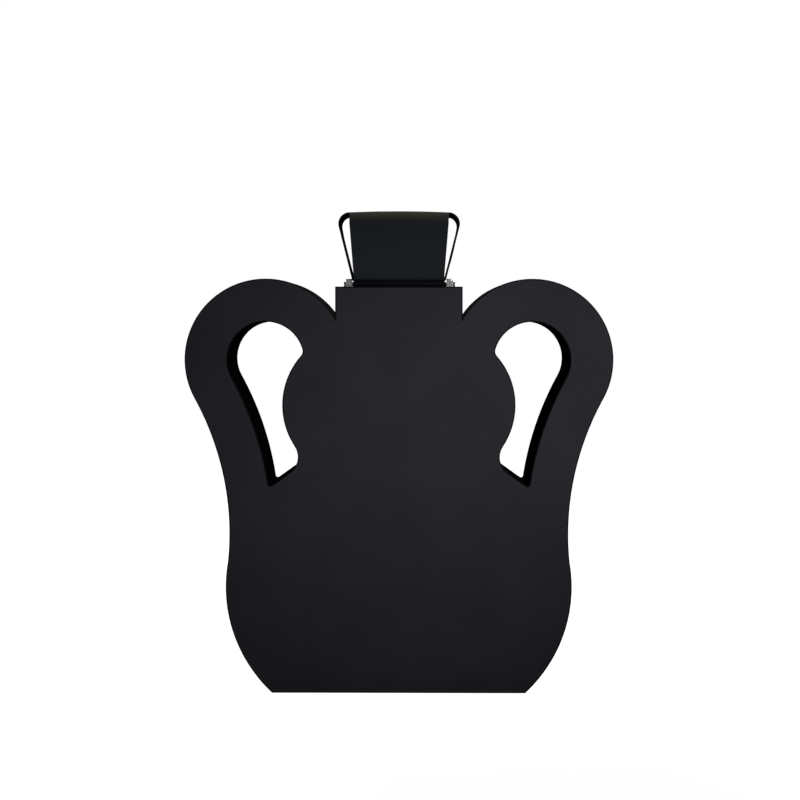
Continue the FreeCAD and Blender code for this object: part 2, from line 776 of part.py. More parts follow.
group("plate_screws", [
    sunk_screw(f"plate_screw_{number}", x, y, "neck_top", "plate_screw_head", "plate_head_depth",
               "plate_screw_radius", "plate_screw_length")
    for number, (x, y) in enumerate(plate_screw_spots, start=1)
])
group("frame_magnets", [
    rod(f"frame_magnet_{number}", "magnet_radius", "magnet_thick", x, y, "plate_floor - magnet_thick")
    for number, (x, y) in enumerate(magnet_spots, start=1)
])
nuts = []
for number, (x, y) in enumerate(stem_spots, start=1):
    hexagon = doc.addObject("Part::Prism", f"nut_body_{number}")
    hexagon.Polygon = 6
    bind(hexagon, Circumradius="nut_radius", Height="nut_height")
    place(hexagon, x, y, "frame_floor - nut_height")
    bore = rod(f"nut_bore_{number}", "stem_radius", "nut_height + 2 * overrun", x, y,
               "frame_floor - nut_height - overrun")
    nuts.append(cut(f"nut_{number}", hexagon, bore))
group("lug_nuts", nuts)


# Hinge lugs, each with its stem down through the plate and the frame

lug_body = new_body("hinge_lug_right")
lug_sketch = body_sketch(lug_body, "XY_Plane", "neck_top")
rectangle(lug_sketch, "lug_reach - lug_width / 2", "lug_reach + lug_width / 2",
          "hinge_line - lug_depth / 2", "hinge_line + lug_depth / 2")
lug_block = pad(lug_body, lug_sketch, "lug_height")
doc.recompute()
lug_top = size["neck_top"] + size["lug_height"]
lug_near = size["lug_height"] * SAME_SHARE
lug_edges = []
for number, edge in enumerate(lug_block.Shape.Edges, start=1):
    ends = [vertex.Point for vertex in edge.Vertexes]
    at_top = all(abs(end.z - lug_top) < lug_near for end in ends)
    if at_top and abs(ends[0].y - ends[1].y) < lug_near:
        lug_edges.append(f"Edge{number}")
lug_rounding = lug_body.newObject("PartDesign::Fillet", "rounding")
lug_rounding.Base = (lug_block, lug_edges)
bind(lug_rounding, Radius="lug_round")
stem_sketch = body_sketch(lug_body, "XY_Plane", "frame_floor - nut_height - stem_end")
circle(stem_sketch, "lug_reach", "hinge_line", "stem_radius")
pad(lug_body, stem_sketch, "plate_thick + frame_height + nut_height + stem_end")
pivot_sketch = body_sketch(lug_body, "YZ_Plane", "lug_reach + lug_width")
circle(pivot_sketch, "hinge_line", "hinge_level", "pivot_radius + pivot_play")
pocket(lug_body, pivot_sketch, "2 * lug_width")
keep("hinge_lug_left", mirrored("hinge_lug_left", lug_body))


# Lid board with its rounded edges, screw holes and magnet seats

lid_body = new_body("lid_board")
lid_sketch = body_sketch(lid_body, "XY_Plane", "lid_floor")
rectangle(lid_sketch, "-lid_half", "lid_half", "-lid_half", "lid_half")
lid_block = pad(lid_body, lid_sketch, "lid_thick")
doc.recompute()
flat_edges = []
for number, edge in enumerate(lid_block.Shape.Edges, start=1):
    low, high = (vertex.Point for vertex in edge.Vertexes)
    if abs(low.z - high.z) < size["lid_thick"] * SAME_SHARE:
        flat_edges.append(f"Edge{number}")
lid_rounding = lid_body.newObject("PartDesign::Fillet", "rounding")
lid_rounding.Base = (lid_block, flat_edges)
bind(lid_rounding, Radius="lid_round")
clamp_spots = [
    (f"{side} * clamp_screw_reach", f"{end} * clamp_screw_reach")
    for side in (1, -1)
    for end in (1, -1)
]
holes(lid_body, "lid_top", "clamp_screw_bite", clamp_spots, "clamp_screw_radius")
magnet_seats = body_sketch(lid_body, "XY_Plane", "lid_floor")
for across, along in magnet_spots:
    circle(magnet_seats, across, along, "magnet_radius")
pocket(lid_body, magnet_seats, "magnet_thick", reverse=True)
for side in (1, -1):
    tip_sketch = body_sketch(lid_body, "YZ_Plane", f"{side} * lid_half")
    circle(tip_sketch, "hinge_line", "hinge_level", "pivot_tip_radius")
    pocket(lid_body, tip_sketch, "pivot_tip_depth", reverse=side < 0)
group("lid_magnets", [
    rod(f"lid_magnet_{number}", "magnet_radius", "magnet_thick", x, y, "lid_floor")
    for number, (x, y) in enumerate(magnet_spots, start=1)
])


# Clamp plate that holds the turned-in feet of the hood on the lid

clamp_body = new_body("clamp_plate")
clamp_sketch = body_sketch(clamp_body, "XY_Plane", "clamp_floor")
rectangle(clamp_sketch, "-clamp_half", "clamp_half", "-clamp_half", "clamp_half")
clamp_pad = pad(clamp_body, clamp_sketch, "clamp_thick")
doc.recompute()
clamp_rounding = clamp_body.newObject("PartDesign::Fillet", "rounding")
clamp_rounding.Base = (clamp_pad, upright_edges(clamp_pad.Shape, size["clamp_half"]))
bind(clamp_rounding, Radius="clamp_round")
boss_sketch = body_sketch(clamp_body, "XY_Plane", "lid_top")
rectangle(boss_sketch, "-boss_half", "boss_half", "-boss_half", "boss_half")
pad(clamp_body, boss_sketch, "hood_leather")
holes(clamp_body, "clamp_top", "clamp_thick + hood_leather", clamp_spots, "clamp_screw_radius")
sink_heads(clamp_body, "clamp_top", clamp_spots, "clamp_screw_head", "clamp_screw_radius", "clamp_head_depth")
group("clamp_screws", [
    sunk_screw(f"clamp_screw_{number}", x, y, "clamp_top", "clamp_screw_head", "clamp_head_depth",
               "clamp_screw_radius", "clamp_screw_length")
    for number, (x, y) in enumerate(clamp_spots, start=1)
])


# Pivot screws and spacers, which turn with the lid

pivot_shank = rod("pivot_shank", "pivot_radius", "pivot_head_face - lid_half", "lid_half",
                  "hinge_line", "hinge_level", "x")
pivot_tip = rod("pivot_tip", "pivot_tip_radius", "pivot_tip_depth", "lid_half - pivot_tip_depth",
                "hinge_line", "hinge_level", "x")
pivot_head = rod("pivot_head", "pivot_head_radius", "pivot_head_thick", "pivot_head_face",
                 "hinge_line", "hinge_level", "x")
pivot_blank = fuse("pivot_blank", fuse("pivot_stem", pivot_shank, pivot_tip), pivot_head)
slot_floor = f"pivot_head_face + pivot_head_thick * {1 - SLOT_DEPTH_SHARE}"
half_slot = f"pivot_head_radius * {SLOT_WIDTH_SHARE}"
pivot_slot = box("pivot_slot", (slot_floor, "pivot_head_face + pivot_head_thick + overrun"),
                 ("hinge_line - pivot_head_radius", "hinge_line + pivot_head_radius"),
                 (f"hinge_level - {half_slot}", f"hinge_level + {half_slot}"))
both_sides("pivot_screw", cut("pivot_screw_right", pivot_blank, pivot_slot))
spacer_body, spacer_bore = (
    rod(name, radius, "spacer_length", "lid_half", "hinge_line", "hinge_level", "x")
    for name, radius in (("spacer_body", "spacer_radius"), ("spacer_bore", "pivot_radius"))
)
both_sides("pivot_spacer", cut("pivot_spacer_right", spacer_body, spacer_bore))


# Leather hood: one cross-shaped blank folded down to the four sides of the lid

def tangent_foot(lower, lower_radius, upper, upper_radius):
    """Return the direction in which a line that touches both bends faces outwards."""
    gap = math.dist(lower, upper)
    lean = math.atan2(upper[0] - lower[0], upper[1] - lower[1])
    lean += math.asin((upper_radius - lower_radius) / gap)
    return (math.cos(lean), -math.sin(lean))


def draw_band(sketch, strip):
    """Draw the outer path of a strip: two feet turned in on the lid, two uprights and the crown."""
    foot_centre = (size[f"{strip}_foot_line"], size[f"{strip}_foot_height"])
    bend_centre = (size[f"{strip}_bend_line"], size["bend_height"])
    foot_round = size[f"{strip}_foot_round"]
    out = tangent_foot(foot_centre, foot_round, bend_centre, size["hood_bend"])
    low_end = tuple(c + foot_round * d for c, d in zip(foot_centre, out))
    high_end = tuple(c + size["hood_bend"] * d for c, d in zip(bend_centre, out))
    tab_end = (foot_centre[0], size["lid_top"])
    crowns = []
    for side in (1, -1):
        pen = Outline(sketch, side)
        tab = pen.line((size["tab_start"], size["lid_top"]), tab_end)
        foot = pen.arc(foot_centre, tab_end, low_end, True)
        upright = pen.line(low_end, high_end)
        bend = pen.arc(bend_centre, high_end, (bend_centre[0], size["hood_top"]), True)
        for one, other in ((tab, foot), (foot, upright), (upright, bend)):
            pen.join(one, other, smooth=True)
        sketch.addConstraint(Sketcher.Constraint("Horizontal", tab))
        pen.across(tab, 1, "tab_start", size["tab_start"])
        pen.height(tab, 1, "lid_top", size["lid_top"])
        pen.across(foot, 3, f"{strip}_foot_line", foot_centre[0])
        pen.radius(foot, f"{strip}_foot_round", foot_round)
        pen.across(bend, 3, f"{strip}_bend_line", bend_centre[0])
        pen.height(bend, 3, "bend_height", bend_centre[1])
        pen.radius(bend, "hood_bend", size["hood_bend"])
        crowns.append((bend, pen.last(bend)))
    ends = [sketch.getPoint(*spot) for spot in crowns]
    crown = sketch.addGeometry(Part.LineSegment(*ends), False)
    for number, spot in enumerate(crowns, start=1):
        sketch.addConstraint(Sketcher.Constraint("Tangent", *spot, crown, number))


def band(name, strip, half_width, along_x):
    """Return one folded strip of the blank, as thick as the leather."""
    path = free_sketch(name + "_path")
    draw_band(path, strip)
    if along_x:
        turn = FreeCAD.Rotation(Vector(0, 0, 1), 90) * FreeCAD.Rotation(Vector(1, 0, 0), 90)
        path.Placement = FreeCAD.Placement(Vector(), turn)
    profile = doc.addObject("Part::Offset2D", name + "_profile")
    profile.Source = path
    profile.Mode = "Skin"
    profile.Join = "Intersection"
    profile.Fill = True
    bind(profile, Value="-hood_leather" if along_x else "hood_leather")
    strip = doc.addObject("Part::Extrusion", name)
    strip.Base = profile
    strip.DirMode = "Custom"
    strip.Dir = Vector(1, 0, 0) if along_x else Vector(0, 1, 0)
    strip.Solid = True
    return bind(strip, LengthFwd=half_width, LengthRev=half_width)


def narrow_feet(name, strip, foot_line, along_x):
    """Return the strip with its turned-in feet as narrow as the boss that they lie round."""
    reach = (f"-({foot_line})", foot_line)
    tools = []
    for number, beside in enumerate((("boss_half", "half_depth"), ("-half_depth", "-boss_half")), start=1):
        across, along = (beside, reach) if along_x else (reach, beside)
        tools.append(box(f"{name}_tool_{number}", across, along, ("lid_floor", "clamp_floor")))
    return cut(name, strip, *tools)


side_band = band("side_band", "arm", "arm_half", False)
side_strip = narrow_feet("side_strip", side_band, "arm_foot_line", False)
front_band = band("front_band", "panel", "panel_top_half + overrun", True)
taper = free_sketch("taper")
taper_pen = Outline(taper)
taper_right = [
    ("panel_foot_half", "neck_top"), ("panel_top_half", "bend_height"), ("panel_top_half", "hood_roof"),
]
taper_places = [(1, *spot) for spot in taper_right] + [(-1, *spot) for spot in reversed(taper_right)]
corners = [(side * size[reach], size[level]) for side, reach, level in taper_places]
taper_lines = [taper_pen.line(start, end) for start, end in zip(corners, corners[1:] + corners[:1])]
for one, other in zip(taper_lines, taper_lines[1:] + taper_lines[:1]):
    taper_pen.join(one, other)
for line, (side, reach, level), (x, z) in zip(taper_lines, taper_places, corners):
    taper_pen.across(line, 1, f"{side} * {reach}", x)
    taper_pen.height(line, 1, level, z)
taper_slab = slab("taper_slab", taper, "past_front", "past_back")
tapered_band = common("tapered_band", front_band, taper_slab)
front_strip = narrow_feet("front_strip", tapered_band, "panel_foot_line", True)
keep("hood", fuse("hood", side_strip, front_strip))


# Checks and export

doc.recompute()
faults = [
    f"{thing.Label}: {', '.join(thing.State)}"
    for thing in doc.Objects
    if {"Invalid", "Error"} & set(thing.State)
]
faults += [
    f"{piece.Label}: no valid solid"
    for piece in pieces
    if piece.Shape.isNull() or not piece.Shape.isValid() or not piece.Shape.Solids
]
if faults:
    raise RuntimeError("\n".join(faults))
os.makedirs("parts", exist_ok=True)
for piece in pieces:
    piece.Shape.exportStep(f"parts/{piece.Label}.step")
    print(f"{piece.Label}: {len(piece.Shape.Solids)} solids, {piece.Shape.Volume:.1f} mm3")
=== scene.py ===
import math

import bmesh
import bpy
from mathutils import Matrix, Vector


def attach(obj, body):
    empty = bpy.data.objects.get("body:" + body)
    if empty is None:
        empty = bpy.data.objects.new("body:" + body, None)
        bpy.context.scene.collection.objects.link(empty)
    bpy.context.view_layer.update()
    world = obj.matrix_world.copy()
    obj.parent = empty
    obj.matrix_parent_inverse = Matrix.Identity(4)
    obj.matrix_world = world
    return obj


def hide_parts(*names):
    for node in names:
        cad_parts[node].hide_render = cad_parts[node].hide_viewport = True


# A flat black leather case in the outline of a two-handled jar, with a folded
# leather hood on its hinged lid. Everything is in metres, in the CAD frame.

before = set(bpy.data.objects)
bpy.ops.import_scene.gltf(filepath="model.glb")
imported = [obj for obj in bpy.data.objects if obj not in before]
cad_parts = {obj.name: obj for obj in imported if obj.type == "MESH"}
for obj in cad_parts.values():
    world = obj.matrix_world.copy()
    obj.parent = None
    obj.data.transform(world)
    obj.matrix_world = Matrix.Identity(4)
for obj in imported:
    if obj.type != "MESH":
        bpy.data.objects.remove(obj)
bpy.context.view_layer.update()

# Outline of the case and its hand holes
NECK_HALF = 0.0447
HOLE_RADIUS = 0.0268
GRIP_WIDTH = 0.0302
HANDLE_RADIUS = HOLE_RADIUS + GRIP_WIDTH
HANDLE_HEIGHT = 0.2355
NOTCH_RISE = 0.0295
NOTCH_HEIGHT = HANDLE_HEIGHT + NOTCH_RISE
NECK_RISE = 0.022
NECK_TOP = NOTCH_HEIGHT + NECK_RISE
HANDLE_CENTRE = (NECK_HALF + math.sqrt(HANDLE_RADIUS ** 2 - NOTCH_RISE ** 2), HANDLE_HEIGHT)
WAIST_INSET = 0.03
WAIST_HEIGHT = 0.0931
WAIST = (HANDLE_CENTRE[0] + HANDLE_RADIUS - WAIST_INSET, WAIST_HEIGHT)
BASE_INSET = 0.031
BASE_CORNER = (WAIST[0] - BASE_INSET, 0.0)
BELLY_RADIUS = 0.1025
FLANK_RADIUS = 0.1982
CORNER_RISE = 0.0062
CORNER_ROUND = 0.005
SHOULDER_DROP = 0.03185
SHOULDER_RADIUS = 0.0525
POCKET_DROP = 0.0364
POCKET_RADIUS = 0.01355
TIP_DROP = 0.0189
TIP_ROUND = 0.0015
HALF_DEPTH = 0.0375
LEATHER_THICK = 0.001

# Steps along an arc: the longest in metres and the widest in radians
ARC_STEP = 0.002
ARC_TURN = math.radians(9)

# Edges of the leather faces: the painted rounding, the paint that laps onto
# the face, the rim just inside it, coloured lighter as a painted highlight, and the rounding of the inner
# edge
EDGE_ROUND = 0.00055
EDGE_STEPS = 6
PAINT_LAP = 0.0004
RIM_WIDTH = 0.0011
BACK_ROUND = 0.0002

# Lid and hood
LID_RISE = 0.0038
LID_TOP = NECK_TOP + LID_RISE
HOOD_HEIGHT = 0.0526
HOOD_TOP = NECK_TOP + HOOD_HEIGHT
HOOD_LEATHER = 0.0012
HOOD_BEND = 0.008
ARM_HALF = 0.024
# Each strip's bend line, its foot line and the radius of its foot
ARM_STRIP = (0.035, 0.03125, 0.0022)
PANEL_STRIP = (0.025, 0.0295, 0.0035)
PANEL_FOOT_HALF = 0.0313
PANEL_TOP_HALF = 0.0349
TAB_HALF = 0.0206
TAB_START = 0.0214
FILLET_ACROSS = 0.0036
FILLET_ALONG = 0.0095
FILLET_SHARES = (0.03, 0.12, 0.27, 0.48, 0.72, 1.0)
CROWN_RISE = 0.0011
CROWN_REACH = 0.032
REAR_FLARE = 0.0009
PANEL_PILLOW = 0.0003
HOOD_EDGE_ROUND = 0.0004
HOOD_STEP = 0.0024
BEND_TURN = math.radians(9)
FOOT_TURN = math.radians(13.5)
HOOD_EDGE_ANGLE = math.radians(50)

# Softened edges of the rigid pieces that stay as CAD nodes
SOFT_EDGES = {
    "side_leather_right": 0.00022, "side_leather_left": 0.00022, "base_leather": 0.00022,
    "handle_leather_right": 0.0002, "handle_leather_left": 0.0002, "mouth_plate": 0.0002,
    "hinge_lug_right": 0.00035, "hinge_lug_left": 0.00035, "clamp_plate": 0.0003,
    "pivot_screw_right": 0.0001, "pivot_screw_left": 0.0001,
}
SOFT_SEGMENTS = 3
SOFT_ANGLE = math.radians(40)
WELD_DISTANCE = 1e-6

# Camera
CAMERA_PLACE = (0.00815, -1.3233, 0.264)
CAMERA_YAW = math.radians(0.326)
CAMERA_PITCH = math.radians(2.517)
CAMERA_ROLL = math.radians(0.05)
CAMERA_LENS = 82.49
CAMERA_SENSOR = 36.0
CAMERA_REACH = 60.0

# Light: each lamp's place, the point that it faces, its width and height, power, spread and colour
LAMPS = {
    "key": ((0.5, -1.53, 0.8), (0.065, 0.0, 0.194), (0.44, 0.18), 0.556, math.radians(18), (1.0, 1.0, 1.0)),
    "top": ((0.0, 0.08, 1.3), (0.0, 0.005, 0.336), (0.08, 0.08), 0.08, math.radians(10), (1.0, 0.76, 0.42)),
    "back": ((-0.4, 1.5, 1.2), (0.0, 0.0, 0.2), (1.0, 1.0), 9.0, math.radians(180), (1.0, 1.0, 1.0)),
}
WORLD_WHITE = 1.0
WORLD_SOFT = 0.05
FLOOR_HALF = 12.0
FLOOR_DROP = 0.00005
FLOOR_COLOUR = (0.6, 0.6, 0.6, 1.0)
FLOOR_GLOW = 0.94

# Leathers: each one's dark and light colour, its roughness and its specular level
CASE_LEATHER = ((0.0156, 0.0155, 0.0191), (0.018, 0.0179, 0.0221), 0.46, 0.01)
# The rim leather is a little lighter than the case leather: a painted highlight along the turn of the edge.
RIM_HIGHLIGHT_LEATHER = ((0.0168, 0.0167, 0.0206), (0.0192, 0.0191, 0.0236), 0.5, 0.01)
SIDE_LEATHER = ((0.0075, 0.0074, 0.0092), (0.0095, 0.0094, 0.0116), 0.52, 0.0)
FOLDED_LEATHER = ((0.0095, 0.0109, 0.0134), (0.0109, 0.0125, 0.0152), 0.55, 0.01)
EDGE_BLACK = (0.004, 0.004, 0.0045)

# Pebbles per metre, their relief, the pores to each pebble and the swing of the roughness
PEBBLES = 900.0
PEBBLE_RELIEF = 0.00003
RIM_PEBBLES = 1400.0
RIM_RELIEF = 0.00001
PORES_PER_PEBBLE = 2.2
ROUGHNESS_SWING = 0.06
PAINT_LIFT = 1.5


# Arcs and outlines, as pairs of metres across and up

def on_circle(centre, towards, radius):
    """Return the point of a circle that lies towards another point."""
    gap = math.dist(centre, towards)
    return tuple(here + (there - here) * radius / gap for here, there in zip(centre, towards))


def crossing(first, first_radius, second, second_radius):
    """Return where two circles cross, left of the line between their centres."""
    gap = math.dist(first, second)
    along = (gap ** 2 + first_radius ** 2 - second_radius ** 2) / (2 * gap)
    rise = math.sqrt(first_radius ** 2 - along ** 2)
    step = ((second[0] - first[0]) / gap, (second[1] - first[1]) / gap)
    return (first[0] + along * step[0] - rise * step[1], first[1] + along * step[1] + rise * step[0])


def arc(centre, start, end, turns_left):
    """Return the points of an arc from start up to, but without, its end."""
    radius = math.dist(centre, start)
    first = math.atan2(start[1] - centre[1], start[0] - centre[0])
    last = math.atan2(end[1] - centre[1], end[0] - centre[0])
    sweep = (last - first) % math.tau
    if not turns_left:
        sweep -= math.tau
    count = max(2, math.ceil(abs(sweep) * radius / ARC_STEP), math.ceil(abs(sweep) / ARC_TURN))
    turns = (first + sweep * number / count for number in range(count))
    return [(centre[0] + radius * math.cos(turn), centre[1] + radius * math.sin(turn)) for turn in turns]


def flank_centre():
    return crossing(HANDLE_CENTRE, HANDLE_RADIUS + FLANK_RADIUS, WAIST, FLANK_RADIUS)


def case_outline():
    """Return the outline of the case, counter-clockwise from the right end of the base."""
    flank = flank_centre()
    belly = crossing(BASE_CORNER, BELLY_RADIUS, WAIST, BELLY_RADIUS)
    turn = on_circle(HANDLE_CENTRE, flank, HANDLE_RADIUS)
    notch = (NECK_HALF, NOTCH_HEIGHT)
    right = arc(belly, BASE_CORNER, WAIST, True)
    right += arc(flank, WAIST, turn, False)
    right += arc(HANDLE_CENTRE, turn, notch, True)
    right += [notch, (NECK_HALF, NECK_TOP)]
    return right + [(-across, up) for across, up in reversed(right)]


def hole_outline(side):
    """Return the outline of one hand hole, run so that the leather lies on its left."""
    flank = flank_centre()
    wall_radius = FLANK_RADIUS + GRIP_WIDTH
    corner_gap = math.sqrt((HOLE_RADIUS - CORNER_ROUND) ** 2 - CORNER_RISE ** 2)
    corner = (HANDLE_CENTRE[0] - corner_gap, HANDLE_CENTRE[1] + CORNER_RISE)
    shoulder_gap = math.sqrt((SHOULDER_RADIUS + CORNER_ROUND) ** 2 - (SHOULDER_DROP + CORNER_RISE) ** 2)
    shoulder = (corner[0] - shoulder_gap, HANDLE_CENTRE[1] - SHOULDER_DROP)
    pocket_gap = math.sqrt((SHOULDER_RADIUS + POCKET_RADIUS) ** 2 - POCKET_DROP ** 2)
    pocket = (shoulder[0] + pocket_gap, shoulder[1] - POCKET_DROP)
    tip_height = pocket[1] - TIP_DROP
    tip_gap = math.sqrt((wall_radius + TIP_ROUND) ** 2 - (flank[1] - tip_height) ** 2)
    tip = (flank[0] - tip_gap, tip_height)
    slope = math.atan2(tip[1] - pocket[1], tip[0] - pocket[0])
    slope -= math.asin((TIP_ROUND - POCKET_RADIUS) / math.dist(pocket, tip))
    below = (math.sin(slope), -math.cos(slope))
    floor_start = tuple(c + POCKET_RADIUS * d for c, d in zip(pocket, below))
    floor_end = tuple(c + TIP_ROUND * d for c, d in zip(tip, below))
    wall_top = on_circle(HANDLE_CENTRE, flank, HOLE_RADIUS)
    wall_foot = on_circle(flank, tip, wall_radius)
    corner_top = on_circle(HANDLE_CENTRE, corner, HOLE_RADIUS)
    corner_foot = on_circle(shoulder, corner, SHOULDER_RADIUS)
    pocket_top = on_circle(shoulder, pocket, SHOULDER_RADIUS)
    loop = arc(flank, wall_foot, wall_top, False)
    loop += arc(HANDLE_CENTRE, wall_top, corner_top, True)
    loop += arc(corner, corner_top, corner_foot, True)
    loop += arc(shoulder, corner_foot, pocket_top, False)
    loop += arc(pocket, pocket_top, floor_start, True)
    loop += [floor_start]
    loop += arc(tip, floor_end, wall_foot, True)
    if side > 0:
        return list(reversed(loop))
    return [(-across, up) for across, up in loop]


def moved_in(loop, distance):
    """Return a closed loop moved to its left, its corners mitred."""
    moved = []
    for before, here, after in zip(loop[-1:] + loop[:-1], loop, loop[1:] + loop[:1]):
        runs = [(Vector(end) - Vector(start)).normalized() for start, end in ((before, here), (here, after))]
        first, second = (Vector((-run.y, run.x)) for run in runs)
        middle = (first + second).normalized()
        moved.append(tuple(Vector(here) + middle * distance / middle.dot(first)))
    return moved


# Mesh helpers

def new_piece(name, mesh, body, replaced):
    """Link a finished mesh as a piece that rides on a body and stands for CAD nodes."""
    piece = bpy.data.objects.new(name, mesh)
    bpy.context.scene.collection.objects.link(piece)
    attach(piece, body)
    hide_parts(*replaced)
    return piece


def add_bevel(piece, width, segments, angle):
    """Round the sharp edges of a piece with a bevel modifier."""
    bevel = piece.modifiers.new("bevel", "BEVEL")
    bevel.width = width
    bevel.segments = segments
    bevel.limit_method = "ANGLE"
    bevel.angle_limit = angle
    bevel.harden_normals = True
    return bevel


# Leather faces of the case

def edge_profile():
    """Return the rings of a leather edge from the back to the front, as inset and depth with a finish."""
    rings = [(BACK_ROUND, LEATHER_THICK, "paint"), (0.0, LEATHER_THICK - BACK_ROUND, "paint")]
    for number in range(EDGE_STEPS + 1):
        turn = math.pi / 2 * number / EDGE_STEPS
        inset = EDGE_ROUND * (1 - math.cos(turn))
        depth = EDGE_ROUND * (1 - math.sin(turn))
        rings.append((inset, depth, "paint"))
    rings.append((EDGE_ROUND + PAINT_LAP, 0.0, "paint"))
    rings.append((EDGE_ROUND + PAINT_LAP + RIM_WIDTH, 0.0, "rim"))
    return rings


def leather_face(name, side, node, finishes):
    """Build one leather face of the case with its hand holes and painted edges."""
    build = bmesh.new()
    order = {"leather": 0, "paint": 1, "rim": 2}
    caps = {"back": [], "front": []}
    rings = edge_profile()
    for loop in (case_outline(), hole_outline(1), hole_outline(-1)):
        rows = []
        for inset, depth, finish in rings:
            level = side * (HALF_DEPTH - depth)
            rows.append([build.verts.new((across, level, up)) for across, up in moved_in(loop, inset)])
        for (low, high), (_, _, finish) in zip(zip(rows, rows[1:]), rings[1:]):
            for number, (one, other) in enumerate(zip(low, high)):
                following = (number + 1) % len(low)
                face = build.faces.new((one, low[following], high[following], other))
                face.material_index = order[finish]
                face.smooth = True
        for key, row in (("back", rows[0]), ("front", rows[-1])):
            caps[key] += [build.edges.get(pair) for pair in zip(row, row[1:] + row[:1])]
    for edges in caps.values():
        bmesh.ops.triangle_fill(build, use_beauty=True, edges=edges)
    bmesh.ops.recalc_face_normals(build, faces=build.faces)
    mesh = bpy.data.meshes.new(name)
    build.to_mesh(mesh)
    build.free()
    for finish in order:
        mesh.materials.append(finishes[finish])
    return new_piece(name, mesh, "case", [node])


# Hood

def strip_lean(strip):
    """Return how far the upright of a strip leans out, in radians."""
    bend_line, foot_line, foot_round = strip
    rise = HOOD_TOP - HOOD_BEND - LID_TOP - foot_round
    gap = math.hypot(bend_line - foot_line, rise)
    return math.atan2(bend_line - foot_line, rise) + math.asin((HOOD_BEND - foot_round) / gap)


def strip_lengths(strip):
    """Return the lengths of a strip's crown, bend, upright, foot and tab, from its middle on."""
    bend_line, foot_line, foot_round = strip
    lean = strip_lean(strip)
    rise = HOOD_TOP - HOOD_BEND - LID_TOP - foot_round
    gap = math.hypot(bend_line - foot_line, rise)
    upright = math.sqrt(gap ** 2 - (HOOD_BEND - foot_round) ** 2)
    bend = HOOD_BEND * (math.pi / 2 + lean)
    foot = foot_round * (math.pi / 2 - lean)
    return bend_line, bend, upright, foot, foot_line - TAB_START


def folded(strip, along):
    """Return how far out and how high the outer face of a strip lies, and how far down its upright."""
    bend_line, foot_line, foot_round = strip
    lean = strip_lean(strip)
    crown, bend, upright, foot, tab = strip_lengths(strip)
    out = (math.cos(lean), -math.sin(lean))
    down = (-math.sin(lean), -math.cos(lean))
    if along <= crown:
        return along, HOOD_TOP, 0.0
    along -= crown
    if along <= bend:
        turn = along / HOOD_BEND
        height = HOOD_TOP - HOOD_BEND + HOOD_BEND * math.cos(turn)
        return bend_line + HOOD_BEND * math.sin(turn), height, 0.0
    along -= bend
    if along <= upright:
        start = (bend_line + HOOD_BEND * out[0], HOOD_TOP - HOOD_BEND + HOOD_BEND * out[1])
        return start[0] + along * down[0], start[1] + along * down[1], along / upright
    along -= upright
    if along <= foot:
        turn = lean + along / foot_round
        height = LID_TOP + foot_round - foot_round * math.sin(turn)
        return foot_line + foot_round * math.cos(turn), height, 1.0
    return foot_line - (along - foot), LID_TOP, 1.0


def spread(start, end, step):
    """Return evenly spaced places from start to end, without the start."""
    count = max(1, math.ceil((end - start) / step))
    return [start + (end - start) * (number + 1) / count for number in range(count)]


def stations(strip, start):
    """Return where the grid lines cross a strip, from a start near its bend to its end."""
    crown, bend, upright, foot, tab = strip_lengths(strip)
    ends = [crown, crown + bend, crown + bend + upright, crown + bend + upright + foot]
    steps = [HOOD_STEP, HOOD_BEND * BEND_TURN, HOOD_STEP, strip[2] * FOOT_TURN]
    lines = []
    for end, step in zip(ends, steps):
        if end > start:
            lines += spread(start, end, step)
            start = end
    return lines + spread(start, start + tab, HOOD_STEP)


def panel_half(height, along):
    """Return half the width of the front or back panel at a height."""
    if along > sum(strip_lengths(PANEL_STRIP)[:4]):
        return TAB_HALF
    share = (height - NECK_TOP) / (HOOD_TOP - HOOD_BEND - NECK_TOP)
    return PANEL_FOOT_HALF + (PANEL_TOP_HALF - PANEL_FOOT_HALF) * min(1.0, share)


def arm_half(along):
    """Return half the width of an arm, with the fillet where it leaves the crown."""
    if along > sum(strip_lengths(ARM_STRIP)[:4]):
        return TAB_HALF
    short = 1 - (along - PANEL_TOP_HALF) / FILLET_ACROSS
    if short <= 0:
        return ARM_HALF
    return ARM_HALF + FILLET_ALONG * (1 - math.sqrt(1 - short ** 2))


def hood_point(across, along):
    """Return where a point of the flat blank lies on the folded hood."""
    out_x, height_x, down_x = folded(ARM_STRIP, abs(across))
    out_y, height_y, down_y = folded(PANEL_STRIP, abs(along))
    width = panel_half(height_y, abs(along)) / PANEL_TOP_HALF if abs(across) <= PANEL_TOP_HALF else 1.0
    crown = max(0.0, 1 - (across / ARM_STRIP[0]) ** 2) * max(0.0, 1 - (along / CROWN_REACH) ** 4)
    flare = REAR_FLARE * math.sin(math.pi * down_x) * max(0.0, along / ARM_HALF) ** 2
    pillow = PANEL_PILLOW * math.sin(math.pi * down_y) * (1 - (across / PANEL_TOP_HALF) ** 2)
    x = math.copysign(out_x * width + flare, across)
    y = math.copysign(out_y - (pillow if down_y else 0.0), along)
    return (x, y, height_x + height_y - HOOD_TOP + CROWN_RISE * crown)


